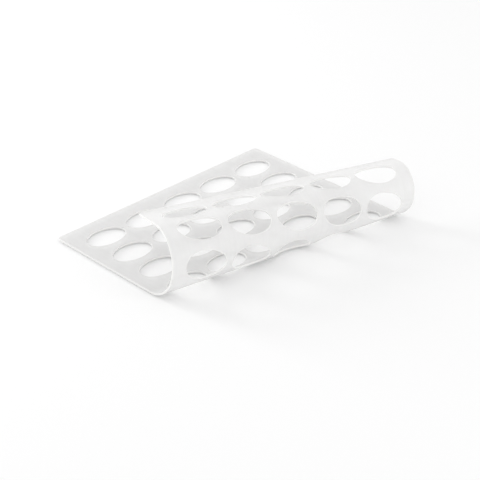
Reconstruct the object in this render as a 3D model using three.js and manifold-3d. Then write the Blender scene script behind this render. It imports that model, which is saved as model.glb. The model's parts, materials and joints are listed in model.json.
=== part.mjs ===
// A thin flexible plastic sheet with a regular grid of oval openings. Its back half lies flat and its front
// half is curled up and back over it. The curl is divided along straight creases, the lines that the sheet
// really bends about, into flat strips that turn on one another: turned back to zero, the sheet is flat again.

import * as THREE from 'three';
import { mergeVertices } from 'three/addons/utils/BufferGeometryUtils.js';
import Module from 'manifold-3d';

const wasm = await Module();
wasm.setup();

// The sheet as it is cut, in millimetres. Lengths along the sheet count from its back edge.
const sheetWidth = 440;
const sheetLength = 472;
const sheetThickness = 3;
const cornerRadius = 7;
const cornerSegments = 4;

const columns = 5;
const rows = 7;
const columnPitch = 81;
const rowPitch = 62;
const openingWidth = 70;
const openingDepth = 46;
const openingSegments = 24;

// The curl. The creases fan out from one far point beyond the sheet's right side, so the roll lies askew.
const creaseCount = 10;
const totalTurn = THREE.MathUtils.degToRad(195);
const firstCrease = 270;
const tightestSpacing = 13.1;
const tightestCrease = 2.5;
const spacingGrowth = 0.25;
const fanPoint = { x: 2313, along: 766 };

// Each strip stops this short of its crease, which leaves the thin web that flexes.
const creaseClearance = 0.5;

const overreach = 40;
const plastic = { color: 0xf1f2f3, roughness: 0.42, metalness: 0 };

// A point of the uncurled sheet: x across it, y towards its back, z up through its thickness.
function flatPoint(x, along, z = 0) {
  return new THREE.Vector3(x, sheetLength / 2 - along, z);
}

function creaseAt(along) {
  const across = flatPoint(fanPoint.x, fanPoint.along).sub(flatPoint(0, along)).normalize();
  return { along, across, point: flatPoint(0, along, sheetThickness / 2) };
}

function makeCreases() {
  const creases = [];
  let along = firstCrease;
  for (let i = 0; i < creaseCount; i++) {
    creases.push(creaseAt(along));
    along += tightestSpacing + spacingGrowth * (i - tightestCrease) ** 2;
  }
  return creases;
}

function solidFrom(geometry) {
  const bare = geometry.clone();
  bare.deleteAttribute('normal');
  bare.deleteAttribute('uv');
  const merged = mergeVertices(bare, 1e-4);
  return new wasm.Manifold(new wasm.Mesh({
    numProp: 3,
    vertProperties: new Float32Array(merged.attributes.position.array),
    triVerts: new Uint32Array(merged.index.array),
  }));
}

function geometryFrom(solid) {
  const { vertProperties, triVerts } = solid.getMesh();
  const geometry = new THREE.BufferGeometry();
  geometry.setAttribute('position', new THREE.BufferAttribute(vertProperties, 3));
  geometry.setIndex(new THREE.BufferAttribute(triVerts, 1));
  geometry.computeVertexNormals();
  return geometry;
}

function sheetOutline() {
  const halfWidth = sheetWidth / 2;
  const halfLength = sheetLength / 2;
  const corners = [[1, -1], [1, 1], [-1, 1], [-1, -1]];
  const outline = new THREE.Shape();
  corners.forEach(([sideX, sideY], i) => {
    const x = sideX * (halfWidth - cornerRadius);
    const y = sideY * (halfLength - cornerRadius);
    const start = (i - 1) * Math.PI / 2;
    outline.absarc(x, y, cornerRadius, start, start + Math.PI / 2);
  });
  return outline;
}

function ovalAt(x, along) {
  const centre = flatPoint(x, along);
  const oval = new THREE.Path();
  oval.absellipse(centre.x, centre.y, openingWidth / 2, openingDepth / 2, 0, 2 * Math.PI, true);
  return new THREE.Path(oval.getSpacedPoints(openingSegments).slice(0, -1));
}

// The whole sheet, uncurled, with all its openings.
function makeSheet() {
  const outline = sheetOutline();
  const endMargin = (sheetLength - (rows - 1) * rowPitch) / 2;
  for (let row = 0; row < rows; row++) {
    for (let column = 0; column < columns; column++) {
      const x = (column - (columns - 1) / 2) * columnPitch;
      outline.holes.push(ovalAt(x, endMargin + row * rowPitch));
    }
  }
  const geometry = new THREE.ExtrudeGeometry(outline, {
    depth: sheetThickness, bevelEnabled: false, curveSegments: cornerSegments,
  });
  return solidFrom(geometry);
}

// The part of the sheet between two creases. No crease at all stands for the sheet's own edge.
function cutBetween(sheet, back, front) {
  const reach = sheetWidth / 2 + overreach;
  const endsOf = (crease, shift) => [-reach, reach].map((x) => {
    const slope = crease.across.y / crease.across.x;
    return new THREE.Vector2(x, crease.point.y + slope * x + shift);
  });
  const beyond = sheetLength / 2 + overreach;
  const backEnds = back ? endsOf(back, -creaseClearance)
    : [new THREE.Vector2(-reach, beyond), new THREE.Vector2(reach, beyond)];
  const frontEnds = front ? endsOf(front, creaseClearance)
    : [new THREE.Vector2(-reach, -beyond), new THREE.Vector2(reach, -beyond)];
  const knife = new THREE.Shape([frontEnds[0], frontEnds[1], backEnds[1], backEnds[0]]);
  const blank = new THREE.ExtrudeGeometry(knife, { depth: 3 * sheetThickness, bevelEnabled: false });
  blank.translate(0, 0, -sheetThickness);
  const left = (piece) => piece.boundingBox().min[0];
  return sheet.intersect(solidFrom(blank)).decompose().sort((a, b) => left(a) - left(b));
}

function meshFrom(solid, name) {
  const mesh = new THREE.Mesh(geometryFrom(solid), new THREE.MeshStandardMaterial(plastic));
  mesh.name = name;
  return mesh;
}

// A frame that turns about a crease. What is added to it keeps its place on the uncurled sheet.
function hingeOn(crease, turn) {
  const frame = new THREE.Group();
  frame.position.copy(crease.point);
  frame.quaternion.setFromAxisAngle(crease.across, -turn);
  const carried = new THREE.Group();
  carried.position.copy(crease.point).negate();
  frame.add(carried);
  return { frame, carried };
}

const sheet = makeSheet();
const creases = makeCreases();
const model = new THREE.Group();

const [panel] = cutBetween(sheet, null, creases[0]);
model.add(meshFrom(panel, 'flat_panel'));

let carrier = model;
creases.forEach((crease, i) => {
  const { frame, carried } = hingeOn(crease, totalTurn / creaseCount);
  frame.name = `crease_${i + 1}`;
  carrier.add(frame);
  carrier = carried;
  const webs = cutBetween(sheet, crease, creases[i + 1]);
  const isFlap = i === creases.length - 1;
  webs.forEach((web, k) => {
    const name = isFlap ? 'free_flap' : `strip_${i + 1}_web_${k + 1}`;
    carried.add(meshFrom(web, name));
  });
});

// The origin is on the surface that the sheet lies on, under the middle of its box.
model.updateMatrixWorld(true);
const box = new THREE.Box3().setFromObject(model, true);
const middle = box.getCenter(new THREE.Vector3());
model.position.set(-middle.x, -middle.y, -box.min.z);
model.updateMatrixWorld(true);

export default model;
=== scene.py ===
import json
import math

import bpy
import numpy as np
from mathutils import Matrix, Vector

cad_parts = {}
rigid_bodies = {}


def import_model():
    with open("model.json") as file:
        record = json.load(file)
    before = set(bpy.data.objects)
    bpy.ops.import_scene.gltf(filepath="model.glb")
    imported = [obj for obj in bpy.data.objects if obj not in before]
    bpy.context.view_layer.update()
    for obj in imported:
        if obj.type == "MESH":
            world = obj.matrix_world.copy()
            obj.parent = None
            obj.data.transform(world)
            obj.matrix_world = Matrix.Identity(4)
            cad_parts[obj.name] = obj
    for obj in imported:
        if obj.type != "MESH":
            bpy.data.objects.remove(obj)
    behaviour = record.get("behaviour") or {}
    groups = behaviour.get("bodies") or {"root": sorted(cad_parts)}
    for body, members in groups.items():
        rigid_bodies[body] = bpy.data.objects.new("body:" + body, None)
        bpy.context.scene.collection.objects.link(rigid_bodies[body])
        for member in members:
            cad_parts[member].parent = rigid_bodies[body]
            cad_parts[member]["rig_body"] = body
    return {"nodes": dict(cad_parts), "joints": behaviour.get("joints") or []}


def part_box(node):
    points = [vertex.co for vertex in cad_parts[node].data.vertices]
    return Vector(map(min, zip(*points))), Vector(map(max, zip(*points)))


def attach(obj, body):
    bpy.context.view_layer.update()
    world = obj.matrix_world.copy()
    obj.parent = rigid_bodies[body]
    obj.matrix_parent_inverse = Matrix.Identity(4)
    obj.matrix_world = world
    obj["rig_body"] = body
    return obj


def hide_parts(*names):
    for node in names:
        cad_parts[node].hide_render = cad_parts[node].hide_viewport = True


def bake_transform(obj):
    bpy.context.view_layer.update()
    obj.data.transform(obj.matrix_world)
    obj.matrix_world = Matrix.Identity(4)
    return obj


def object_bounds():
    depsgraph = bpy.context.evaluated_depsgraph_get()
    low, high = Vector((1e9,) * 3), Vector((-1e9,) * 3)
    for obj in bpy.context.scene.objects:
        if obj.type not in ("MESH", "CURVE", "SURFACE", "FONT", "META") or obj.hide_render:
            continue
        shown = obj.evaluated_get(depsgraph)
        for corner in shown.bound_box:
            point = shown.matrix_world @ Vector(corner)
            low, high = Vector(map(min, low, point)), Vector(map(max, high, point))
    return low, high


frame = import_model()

cadLow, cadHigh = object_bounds()
scene = bpy.context.scene


# ---- the sheet as it is cut: everything a user would change about it

sheetCut = {
    "columns": 5,
    "rows": 7,
    "columnPitch": 0.081,
    "rowPitch": 0.062,
    "openingWidth": 0.070,
    "openingDepth": 0.046,
    "sideEdges": 20,      # edges along the short side of one cell, from row line to row line
    "frontEdges": 28,     # edges along its long side
    "ringsOfWeb": 7,      # cuts between an opening and its cell's outline
    "marginStep": 0.0026,
    "endMargin": 0.050,   # middle of the first row to the edge of the sheet
    "cornerRadius": 0.007,
    "edgeRounding": 0.00025,
    "roundingSteps": 2,
    "roundedFrom": 60,    # degrees between two faces from which their edge is a cut edge
    "smoothUpTo": 50,     # degrees between two faces up to which they shade as one
    "cutEdgeReach": 0.0006,
    "mapMiddle": 0.3,     # where the middle of the sheet lies on its flat map
}

# Below these, two places count as the same.
mergeDistance = 1e-5
seamDistance = 1e-7
smallStep = 1e-6
smallSquare = 1e-18


def size(low, high, axis):
    return high[axis] - low[axis]


panelLow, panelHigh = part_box("flat_panel")
sheetWidth = size(panelLow, panelHigh, 0)
sheetThickness = size(panelLow, panelHigh, 2)
sheetLength = (sheetCut["rows"] - 1) * sheetCut["rowPitch"] + 2 * sheetCut["endMargin"]
flatMiddle = Vector(((panelLow.x + panelHigh.x) / 2, panelHigh.y - sheetLength / 2, sheetThickness / 2))


# ---- the creases: where each lies on the uncurled sheet, and how each strip between them is placed

def turnAbout(point, axis, angle):
    return Matrix.Translation(point) @ Matrix.Rotation(angle, 4, axis) @ Matrix.Translation(-point)


placement = [Matrix.Identity(4)]    # of the panel, then of each strip in turn
flatCreases = []
for joint in frame["joints"]:
    backToFlat = placement[-1].inverted()
    creasePoint = backToFlat @ Vector(joint["pos_m"])
    creaseAxis = backToFlat.to_3x3() @ Vector(joint["axis"])
    fullTurn = math.radians(joint["range_deg"][1])    # this crease's upper limit lies flat
    placement.append(placement[-1] @ turnAbout(creasePoint, creaseAxis, -fullTurn))
    flatCreases.append((creasePoint, creaseAxis))


def meetingPoint(first, second):
    (p, a), (q, b) = first, second
    across = a.x * b.y - a.y * b.x
    reach = ((q.x - p.x) * b.y - (q.y - p.y) * b.x) / across
    return p + a * reach


fanPoint = meetingPoint(flatCreases[0], flatCreases[-1])


def bearing(x, y):    # the direction to the fan point grows from the back edge to the free edge
    return np.arctan2(fanPoint.y - y, fanPoint.x - x)


creaseBearings = [float(bearing(point.x, point.y)) for point, axis in flatCreases]
halfSteps = [(b - a) / 2 for a, b in zip(creaseBearings, creaseBearings[1:])]
seamBearings = [creaseBearings[0] - halfSteps[0]]
seamBearings += [a + h for a, h in zip(creaseBearings, halfSteps)]
seamBearings += [creaseBearings[-1] + halfSteps[-1]]


def onRay(angle, reach):
    x = fanPoint.x - reach * np.cos(angle)
    y = fanPoint.y - reach * np.sin(angle)
    return np.stack([x, y, np.full_like(x, sheetThickness / 2)], axis=-1)


def carried(matrix, points):
    m = np.array(matrix)
    return points @ m[:3, :3].T + m[:3, 3]


# Flat points to their place on the curled sheet. Between two seams the sheet turns by one crease,
# on a curve that leaves one strip's plane and meets the next one's without a kink.
def curlPoints(points, zone):
    x, y = points[:, 0], points[:, 1]
    height = points[:, 2] - sheetThickness / 2
    if zone == 0:
        return points.copy()
    if zone > len(flatCreases):
        return carried(placement[-1], points)
    k = zone - 1
    angle = bearing(x, y)
    reach = np.hypot(fanPoint.x - x, fanPoint.y - y)
    gone = (angle - seamBearings[k]) * reach
    before = (creaseBearings[k] - seamBearings[k]) * reach
    after = (seamBearings[k + 1] - creaseBearings[k]) * reach
    f = gone / (before + np.sqrt(np.maximum(before ** 2 + (after - before) * gone, smallSquare)))
    f = np.clip(f, 0, 1)[:, None]
    start = carried(placement[k], onRay(np.full_like(reach, seamBearings[k]), reach))
    bend = carried(placement[k], onRay(np.full_like(reach, creaseBearings[k]), reach))
    end = carried(placement[k + 1], onRay(np.full_like(reach, seamBearings[k + 1]), reach))
    middle = (1 - f) ** 2 * start + 2 * f * (1 - f) * bend + f ** 2 * end
    along = (1 - f) * (bend - start) + f * (end - bend)
    ruling = np.array(placement[k].to_3x3() @ flatCreases[k][1])
    outward = np.cross(np.broadcast_to(ruling, along.shape), along)
    outward /= np.linalg.norm(outward, axis=1)[:, None]
    if outward[0] @ (np.array(placement[k].to_3x3() @ Vector((0, 0, 1)))) < 0:
        outward = -outward
    return middle + outward * height[:, None]


# ---- small helpers for work in edit mode

def clearSelection():
    if bpy.context.object and bpy.context.object.mode != "OBJECT":
        bpy.ops.object.mode_set(mode="OBJECT")
    bpy.ops.object.select_all(action="DESELECT")


def makeActive(obj):
    clearSelection()
    obj.select_set(True)
    bpy.context.view_layer.objects.active = obj


def editing(obj, select="VERT"):
    makeActive(obj)
    bpy.ops.object.mode_set(mode="EDIT")
    bpy.ops.mesh.select_mode(type=select)
    bpy.ops.mesh.select_all(action="DESELECT")


def objectMode():
    bpy.ops.object.mode_set(mode="OBJECT")


def applyAll(obj):
    makeActive(obj)
    for modifier in list(obj.modifiers):
        bpy.ops.object.modifier_apply(modifier=modifier.name)


def pickVertices(obj, wanted):
    objectMode()
    for vertex in obj.data.vertices:
        vertex.select = wanted(vertex.co)
    for edge in obj.data.edges:
        edge.select = all(obj.data.vertices[i].select for i in edge.vertices)
    for face in obj.data.polygons:
        face.select = False
    bpy.ops.object.mode_set(mode="EDIT")


def vertexPlaces(obj):
    co = np.empty(len(obj.data.vertices) * 3)
    obj.data.vertices.foreach_get("co", co)
    return co.reshape(-1, 3)


# ---- one cell of the sheet: an oval edge bridged to the cell's outline

def makeCell():
    cut = sheetCut
    clearSelection()
    rim = 2 * (cut["sideEdges"] + cut["frontEdges"])
    bpy.ops.mesh.primitive_circle_add(vertices=rim, radius=1, fill_type="NOTHING", enter_editmode=True)
    cell = bpy.context.object
    bpy.ops.mesh.select_all(action="SELECT")
    bpy.ops.transform.resize(value=(cut["openingWidth"] / 2, cut["openingDepth"] / 2, 1),
                             center_override=(0, 0, 0))
    bpy.ops.mesh.select_all(action="DESELECT")
    # the outline starts as a second ring, pulled square with its corners a fixed number of edges apart
    bpy.ops.mesh.primitive_circle_add(vertices=rim, radius=1, fill_type="NOTHING")
    objectMode()
    halfWide, halfDeep = cut["columnPitch"] / 2, cut["rowPitch"] / 2
    side, front = cut["sideEdges"], cut["frontEdges"]
    for vertex in cell.data.vertices:
        if not vertex.select:
            continue
        step = math.atan2(vertex.co.y, vertex.co.x) / (2 * math.pi) * rim
        quarter = abs(step) if abs(step) <= rim / 4 else rim / 2 - abs(step)
        if quarter <= side / 2 + smallStep:
            x, y = halfWide, halfDeep * quarter / (side / 2)
        else:
            x, y = halfWide * (rim / 4 - quarter) / (front / 2), halfDeep
        vertex.co.x = math.copysign(x, vertex.co.x)
        vertex.co.y = math.copysign(y, vertex.co.y)
    bpy.ops.object.mode_set(mode="EDIT")
    bpy.ops.mesh.select_mode(type="EDGE")
    bpy.ops.mesh.select_all(action="SELECT")
    bpy.ops.mesh.bridge_edge_loops(number_cuts=cut["ringsOfWeb"], interpolation="LINEAR")
    objectMode()
    cell.name = "sheetBlank"
    return cell


def addArray(obj, count, offset):
    array = obj.modifiers.new("repeat", "ARRAY")
    array.count = count
    array.use_relative_offset = False
    array.use_constant_offset = True
    array.constant_offset_displace = offset
    array.use_merge_vertices = True
    array.merge_threshold = mergeDistance


def extendEdge(obj, axis, sign, inner, margin):
    steps = max(1, round(margin / sheetCut["marginStep"]))
    editing(obj)
    pickVertices(obj, lambda co: abs(co[axis] - sign * inner) < mergeDistance)
    move = [0, 0, 0]
    move[axis] = sign * margin / steps
    for step in range(steps):
        bpy.ops.mesh.extrude_edges_move(TRANSFORM_OT_translate={"value": move})
    objectMode()


def roundCorners(obj):
    radius = sheetCut["cornerRadius"]
    for vertex in obj.data.vertices:
        over = [abs(vertex.co.x) - (sheetWidth / 2 - radius), abs(vertex.co.y) - (sheetLength / 2 - radius)]
        if min(over) <= 0:
            continue
        a, b = over[0] / radius, over[1] / radius
        x = sheetWidth / 2 - radius + radius * a * math.sqrt(1 - b * b / 2)
        y = sheetLength / 2 - radius + radius * b * math.sqrt(1 - a * a / 2)
        vertex.co.x = math.copysign(x, vertex.co.x)
        vertex.co.y = math.copysign(y, vertex.co.y)


def makeSheetBlank():
    cut = sheetCut
    blank = makeCell()
    spanX = (cut["columns"] - 1) * cut["columnPitch"]
    spanY = (cut["rows"] - 1) * cut["rowPitch"]
    editing(blank)
    bpy.ops.mesh.select_all(action="SELECT")
    bpy.ops.transform.translate(value=(-spanX / 2, -spanY / 2, 0))
    objectMode()
    addArray(blank, cut["columns"], (cut["columnPitch"], 0, 0))
    addArray(blank, cut["rows"], (0, cut["rowPitch"], 0))
    applyAll(blank)
    innerX = spanX / 2 + cut["columnPitch"] / 2
    innerY = spanY / 2 + cut["rowPitch"] / 2
    for sign in (-1, 1):
        extendEdge(blank, 0, sign, innerX, sheetWidth / 2 - innerX)
    for sign in (-1, 1):
        extendEdge(blank, 1, sign, innerY, sheetLength / 2 - innerY)
    roundCorners(blank)
    wall = blank.modifiers.new("wall", "SOLIDIFY")
    wall.thickness = sheetThickness
    wall.offset = 0
    rounding = blank.modifiers.new("cut edges", "BEVEL")
    rounding.width = cut["edgeRounding"]
    rounding.segments = cut["roundingSteps"]
    rounding.limit_method = "ANGLE"
    rounding.angle_limit = math.radians(cut["roundedFrom"])
    applyAll(blank)
    editing(blank)
    bpy.ops.mesh.select_all(action="SELECT")
    bpy.ops.mesh.normals_make_consistent(inside=False)
    bpy.ops.transform.translate(value=flatMiddle)
    objectMode()
    return blank


# How far each point is from the nearest cut edge, as 1 at the edge and 0 inside the sheet.
def markCutEdges(obj):
    cut = sheetCut
    co = vertexPlaces(obj) - np.array(flatMiddle)
    lastColumn, lastRow = (cut["columns"] - 1) / 2, (cut["rows"] - 1) / 2
    column = np.clip(np.round(co[:, 0] / cut["columnPitch"]), -lastColumn, lastColumn)
    row = np.clip(np.round(co[:, 1] / cut["rowPitch"]), -lastRow, lastRow)
    x = (co[:, 0] - column * cut["columnPitch"]) / (cut["openingWidth"] / 2)
    y = (co[:, 1] - row * cut["rowPitch"]) / (cut["openingDepth"] / 2)
    level = np.hypot(x, y)
    slope = np.hypot(x / (cut["openingWidth"] / 2), y / (cut["openingDepth"] / 2))
    slope /= np.maximum(level, smallStep)
    toOpening = (level - 1) / slope
    toOutline = np.minimum(sheetWidth / 2 - np.abs(co[:, 0]), sheetLength / 2 - np.abs(co[:, 1]))
    distance = np.minimum(np.abs(toOpening), np.abs(toOutline))
    mark = obj.data.attributes.new("cutEdge", "FLOAT", "POINT")
    mark.data.foreach_set("value", np.clip(1 - distance / cut["cutEdgeReach"], 0, 1).astype(np.float32))


# The pattern of the plastic follows the flat sheet, in metres, so it runs on from piece to piece.
def layFlatMap(obj):
    mesh = obj.data
    while mesh.uv_layers:
        mesh.uv_layers.remove(mesh.uv_layers[0])
    flatMap = mesh.uv_layers.new(name="flatSheet")
    corner = np.empty(len(mesh.loops), int)
    mesh.loops.foreach_get("vertex_index", corner)
    fromMiddle = vertexPlaces(obj)[corner, :2] - np.array(flatMiddle)[:2]
    flatMap.data.foreach_set("uv", (fromMiddle + sheetCut["mapMiddle"]).astype(np.float32).ravel())


def faceZones(obj):
    centres = np.empty(len(obj.data.polygons) * 3)
    obj.data.polygons.foreach_get("center", centres)
    centres = centres.reshape(-1, 3)
    return np.searchsorted(seamBearings, bearing(centres[:, 0], centres[:, 1]))


def cutAtSeams(obj):
    for angle in seamBearings:
        editing(obj)
        bpy.ops.mesh.select_all(action="SELECT")
        bpy.ops.mesh.bisect(plane_co=(fanPoint.x, fanPoint.y, 0), threshold=seamDistance,
                            plane_no=(-math.sin(angle), math.cos(angle), 0))
        objectMode()


def separateZones(obj):
    pieces = {}
    for zone in range(1, len(seamBearings) + 1):
        zones = np.empty(len(obj.data.polygons), np.int32)
        obj.data.attributes["zone"].data.foreach_get("value", zones)
        editing(obj, "FACE")
        objectMode()
        obj.data.polygons.foreach_set("select", zones == zone)
        bpy.ops.object.mode_set(mode="EDIT")
        before = set(bpy.data.objects)
        bpy.ops.mesh.separate(type="SELECTED")
        objectMode()
        pieces[zone] = (set(bpy.data.objects) - before).pop()
    pieces[0] = obj
    return pieces


def closeSeams(obj, slotIndex):
    count = len(obj.data.polygons)
    editing(obj)
    bpy.ops.mesh.select_all(action="SELECT")
    bpy.ops.mesh.fill_holes(sides=0)
    objectMode()
    for face in obj.data.polygons[count:]:
        face.material_index = slotIndex


# Normals are taken from the whole sheet, so that no shading line shows where two pieces of it meet.
def keepNormals(obj):
    mesh = obj.data
    normals = np.empty(len(mesh.loops) * 3)
    mesh.corner_normals.foreach_get("vector", normals)
    kept = mesh.attributes.new("sheetNormal", "FLOAT_VECTOR", "CORNER")
    kept.data.foreach_set("vector", normals.astype(np.float32))


def restoreNormals(obj):
    mesh = obj.data
    normals = np.empty(len(mesh.loops) * 3)
    mesh.attributes["sheetNormal"].data.foreach_get("vector", normals)
    mesh.attributes.remove(mesh.attributes["sheetNormal"])
    mesh.normals_split_custom_set(normals.reshape(-1, 3))


# ---- materials: sockets that can be added and multiplied like numbers

class Flow:
    def __init__(self, shader, socket):
        self.shader = shader
        self.socket = socket

    def join(self, operation, first, second):
        return self.shader.node("ShaderNodeMath", {"operation": operation}, {0: first, 1: second})

    def __add__(self, other):
        return self.join("ADD", self, other)

    def __radd__(self, other):
        return self.join("ADD", other, self)

    def __sub__(self, other):
        return self.join("SUBTRACT", self, other)

    def __rsub__(self, other):
        return self.join("SUBTRACT", other, self)

    def __mul__(self, other):
        return self.join("MULTIPLY", self, other)

    def __rmul__(self, other):
        return self.join("MULTIPLY", other, self)


class Shader:
    def __init__(self, name):
        self.material = bpy.data.materials.new(name)
        self.material.use_nodes = True
        self.tree = self.material.node_tree
        self.surface = self.tree.nodes["Principled BSDF"]

    def fill(self, node, values):
        for key, value in values.items():
            if isinstance(value, Flow):
                self.tree.links.new(value.socket, node.inputs[key])
            else:
                node.inputs[key].default_value = value

    def node(self, kind, settings=None, values=None, output=0):
        made = self.tree.nodes.new(kind)
        for key, value in (settings or {}).items():
            if key == "stops":
                for element, (place, colour) in zip(made.color_ramp.elements, value):
                    element.position = place
                    element.color = colour
            else:
                setattr(made, key, value)
        self.fill(made, values or {})
        return Flow(self, made.outputs[output])

    def set(self, **values):
        self.fill(self.surface, {key.replace("_", " "): value for key, value in values.items()})


frostedPlastic = {
    "colour": (0.91, 0.907, 0.905, 1),
    "thinColour": (0.87, 0.867, 0.862, 1),
    "cutColour": (0.88, 0.878, 0.868, 1),
    "paintedEdgeGlow": (0.035, 0.035, 0.031, 1),    # painted glow: emission on the cut edges stands in for light the sheet carries to them
    "roughness": 0.42,
    "roughnessSpread": 0.16,
    "scuffDullness": 0.6,
    "refraction": 1.49,
    "alpha": 0.64,
    "cutAlpha": 0.85,
    "alphaFromClouds": 0.06,
    "alphaFromLines": 0.04,
    "cloudShare": 0.6,         # of the unevenness in colour; the draw lines have the rest
    "lineShare": 0.4,
    "grainSize": 0.0007,
    "grainHeight": 0.00003,
    "lineHeight": 1.5,         # of the draw lines, in grain heights
    "bumpStrength": 0.5,
    "drawLineSpacing": 0.004,
    "lineStretch": 0.02,
    "scuffSize": 0.03,
    "scuffsPerCloud": 12,
    "scuffStretch": 0.16,
    "scuffStart": 0.56,
    "scuffFull": 0.70,
}


def makeFrostedPlastic():
    look = frostedPlastic
    shader = Shader("frostedPlastic")
    flat = shader.node("ShaderNodeTexCoord", output="UV")
    cutEdge = shader.node("ShaderNodeAttribute", {"attribute_name": "cutEdge"}, output="Fac")

    def noise(spacing, detail, stretch=(1, 1, 1)):
        placed = shader.node("ShaderNodeMapping", {}, {"Vector": flat, "Scale": stretch})
        return shader.node("ShaderNodeTexNoise", {},
                           {"Vector": placed, "Scale": 1 / spacing, "Detail": detail})

    # slow unevenness of the extruded sheet, and faint lines along its length
    clouds = noise(look["scuffSize"], 3)
    drawLines = noise(look["drawLineSpacing"], 4, (1, look["lineStretch"], 1))
    grain = noise(look["grainSize"], 2)
    scuffs = noise(look["scuffSize"] / look["scuffsPerCloud"], 5, (1, look["scuffStretch"], 1))
    stops = [(look["scuffStart"], (0, 0, 0, 1)), (look["scuffFull"], (1, 1, 1, 1))]
    scuffMask = shader.node("ShaderNodeValToRGB", {"stops": stops}, {"Fac": scuffs})

    thickness = clouds * look["cloudShare"] + drawLines * look["lineShare"]
    thin = shader.node("ShaderNodeMix", {"data_type": "RGBA"},
                       {"Factor": thickness, "A": look["thinColour"], "B": look["colour"]}, output=2)
    colour = shader.node("ShaderNodeMix", {"data_type": "RGBA"},
                         {"Factor": cutEdge, "A": thin, "B": look["cutColour"]}, output=2)
    dull = look["roughnessSpread"]
    roughness = look["roughness"] + (clouds - 0.5) * dull + (grain - 0.5) * dull
    roughness = roughness + scuffMask * (dull * look["scuffDullness"])
    alpha = look["alpha"] + (clouds - 0.5) * look["alphaFromClouds"]
    alpha = alpha + (drawLines - 0.5) * look["alphaFromLines"]
    alpha = alpha + cutEdge * (look["cutAlpha"] - alpha)
    height = grain * look["grainHeight"] + drawLines * (look["grainHeight"] * look["lineHeight"])
    bump = shader.node("ShaderNodeBump", {},
                       {"Height": height, "Strength": look["bumpStrength"], "Distance": 1.0})
    # painted glow: the cut edges emit a little light, as if lit through the sheet
    paintedGlow = shader.node("ShaderNodeMix", {"data_type": "RGBA"},
                       {"Factor": cutEdge, "A": (0, 0, 0, 1), "B": look["paintedEdgeGlow"]}, output=2)
    shader.set(Base_Color=colour, Roughness=roughness, Alpha=alpha, Normal=bump, IOR=look["refraction"],
               Emission_Color=paintedGlow, Emission_Strength=1)
    return shader.material


# The sheet is one piece: nothing of its inner section shows where the model divides it.
def makeSeamGap():
    shader = Shader("seamGap")
    shader.set(Base_Color=frostedPlastic["colour"], Roughness=frostedPlastic["roughness"], Alpha=0)
    return shader.material


tableTop = {
    "colour": (0.93, 0.93, 0.93, 1),
    "size": 16.0,
    "gap": 0.002,    # below the sheet, so that the shadow under its edges stays soft
    "roughness": 0.85,
    "roughnessSpread": 0.1,
    "toothPerMetre": 300,
}


def makeTableTop():
    shader = Shader("tableTop")
    place = shader.node("ShaderNodeTexCoord", output="Object")
    tooth = shader.node("ShaderNodeTexNoise", {},
                        {"Vector": place, "Scale": tableTop["toothPerMetre"], "Detail": 2})
    roughness = tableTop["roughness"] + (tooth - 0.5) * tableTop["roughnessSpread"]
    shader.set(Base_Color=tableTop["colour"], Roughness=roughness)
    return shader.material


# ---- make the sheet

blank = makeSheetBlank()
print("sheet cut:", len(blank.data.polygons), "faces")
markCutEdges(blank)
layFlatMap(blank)
cutAtSeams(blank)
gapSlot = 1    # after the plastic
blank.data.materials.append(makeFrostedPlastic())
blank.data.materials.append(makeSeamGap())


def curlSheet(obj):
    flat = vertexPlaces(obj)
    zones = np.searchsorted(seamBearings, bearing(flat[:, 0], flat[:, 1]))
    placed = flat.copy()
    for zone in range(len(seamBearings) + 1):
        mine = zones == zone
        placed[mine] = curlPoints(flat[mine], zone)
    mark = obj.data.attributes.new("zone", "INT", "FACE")
    mark.data.foreach_set("value", faceZones(obj))
    obj.data.vertices.foreach_set("co", placed.ravel())
    obj.data.update()


curlSheet(blank)
makeActive(blank)
bpy.ops.object.shade_smooth_by_angle(angle=math.radians(sheetCut["smoothUpTo"]))
keepNormals(blank)
print("sheet curled about", len(flatCreases), "creases")


# ---- one piece for the flat part, one for each bend, one for the free end

def pieceName(zone):
    if zone == 0:
        return "sheetFlat"
    return "sheetFreeEnd" if zone == len(seamBearings) else f"sheetBend{zone}"


pieces = separateZones(blank)
for zone, piece in pieces.items():
    piece.name = pieceName(zone)
    piece.data.name = piece.name
    closeSeams(piece, gapSlot)
    restoreNormals(piece)
    piece.data.attributes.remove(piece.data.attributes["zone"])


seamMargin = 0.0001


# The two ends of a bend's blend, just inside its seams.
def blendEnds(k):
    corners = []
    for angle in (seamBearings[k], seamBearings[k + 1]):
        x = flatMiddle.x + np.array([-1, -1, 1, 1]) * sheetWidth / 2
        y = fanPoint.y - (fanPoint.x - x) * math.tan(angle)
        z = np.array([0, 1, 0, 1]) * sheetThickness
        corners.append(curlPoints(np.stack([x, y, z], axis=1), k + 1))
    ruling = np.array(frame["joints"][k]["axis"])
    crease = np.array(frame["joints"][k]["pos_m"])
    across = corners[1].mean(axis=0) - corners[0].mean(axis=0)
    across -= ruling * (ruling @ across)
    across /= np.linalg.norm(across)
    first = ((corners[0] - crease) @ across).max() + seamMargin
    last = ((corners[1] - crease) @ across).min() - seamMargin
    return tuple(crease + across * first), tuple(crease + across * last)


bodyNames = [frame["joints"][0]["parent"]] + [joint["child"] for joint in frame["joints"]]
bodyNodes = {}
for name, node in frame["nodes"].items():
    bodyNodes.setdefault(node["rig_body"], []).append(name)

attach(pieces[0], bodyNames[0])
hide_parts(*bodyNodes[bodyNames[0]])
for k in range(len(flatCreases)):
    bend = pieces[k + 1]
    start, end = blendEnds(k)
    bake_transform(bend)
    if k + 1 < len(flatCreases):
        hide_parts(*bodyNodes[bodyNames[k + 1]])
freeEnd = pieces[len(seamBearings)]
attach(freeEnd, bodyNames[-1])
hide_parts(*bodyNodes[bodyNames[-1]])
print("pieces placed:", ", ".join(sorted(piece.name for piece in pieces.values())))


# ---- table top, light and camera

boxMiddle = (cadLow + cadHigh) / 2


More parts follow.
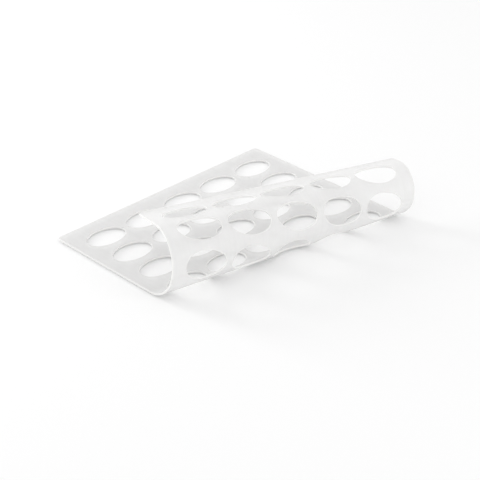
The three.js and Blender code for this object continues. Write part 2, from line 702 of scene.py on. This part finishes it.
def makeTable():
    clearSelection()
    place = (boxMiddle.x, boxMiddle.y, cadLow.z - tableTop["gap"])
    bpy.ops.mesh.primitive_plane_add(size=tableTop["size"], location=place)
    table = bpy.context.object
    table.name = "table"
    makeActive(table)
    bpy.ops.object.transform_apply(location=True, rotation=True, scale=True)
    table.data.materials.append(makeTableTop())


def addLight(name, direction, distance, size, power):
    toward = Vector(direction).normalized()
    light = bpy.data.lights.new(name, "AREA")
    light.shape = "DISK"
    light.size = size
    light.energy = power
    lamp = bpy.data.objects.new(name, light)
    scene.collection.objects.link(lamp)
    lamp.location = boxMiddle + toward * distance
    lamp.rotation_euler = toward.to_track_quat("Z", "Y").to_euler()


def makeSky(strength):
    world = bpy.data.worlds.new("softRoom")
    scene.world = world
    world.use_nodes = True
    background = world.node_tree.nodes["Background"]
    background.inputs["Color"].default_value = (1, 1, 1, 1)
    background.inputs["Strength"].default_value = strength


studio = {
    "skyStrength": 0.94,
    "window": {"direction": (-0.35, 1.0, 0.34), "distance": 2.6, "size": 1.0, "power": 22},
    "roomFill": {"direction": (0.35, -1.0, 0.50), "distance": 2.6, "size": 1.2, "power": 6},
}

makeTable()
makeSky(studio["skyStrength"])
addLight("windowLight", **studio["window"])
addLight("roomFillLight", **studio["roomFill"])

mainView = {
    "aim": (-0.0375, -0.0277, -0.0457),    # from the middle of the box
    "distance": 2.232,
    "azimuth": -44.84,
    "elevation": 30.71,
    "lens": 107.3,
    "sensorWidth": 36,
    "nearest": 0.05,
    "farthest": 50,
}


def makeCamera():
    azimuth = math.radians(mainView["azimuth"])
    elevation = math.radians(mainView["elevation"])
    back = Vector((math.sin(azimuth) * math.cos(elevation), -math.cos(azimuth) * math.cos(elevation),
                   math.sin(elevation)))
    lens = bpy.data.cameras.new("mainCamera")
    lens.lens = mainView["lens"]
    lens.sensor_width = mainView["sensorWidth"]
    lens.clip_start, lens.clip_end = mainView["nearest"], mainView["farthest"]
    camera = bpy.data.objects.new("mainCamera", lens)
    scene.collection.objects.link(camera)
    camera.location = boxMiddle + Vector(mainView["aim"]) + back * mainView["distance"]
    camera.rotation_euler = back.to_track_quat("Z", "Y").to_euler()
    scene.camera = camera


makeCamera()
scene.view_settings.view_transform = "Standard"
scene.view_settings.look = "None"
print("table, light and camera placed")
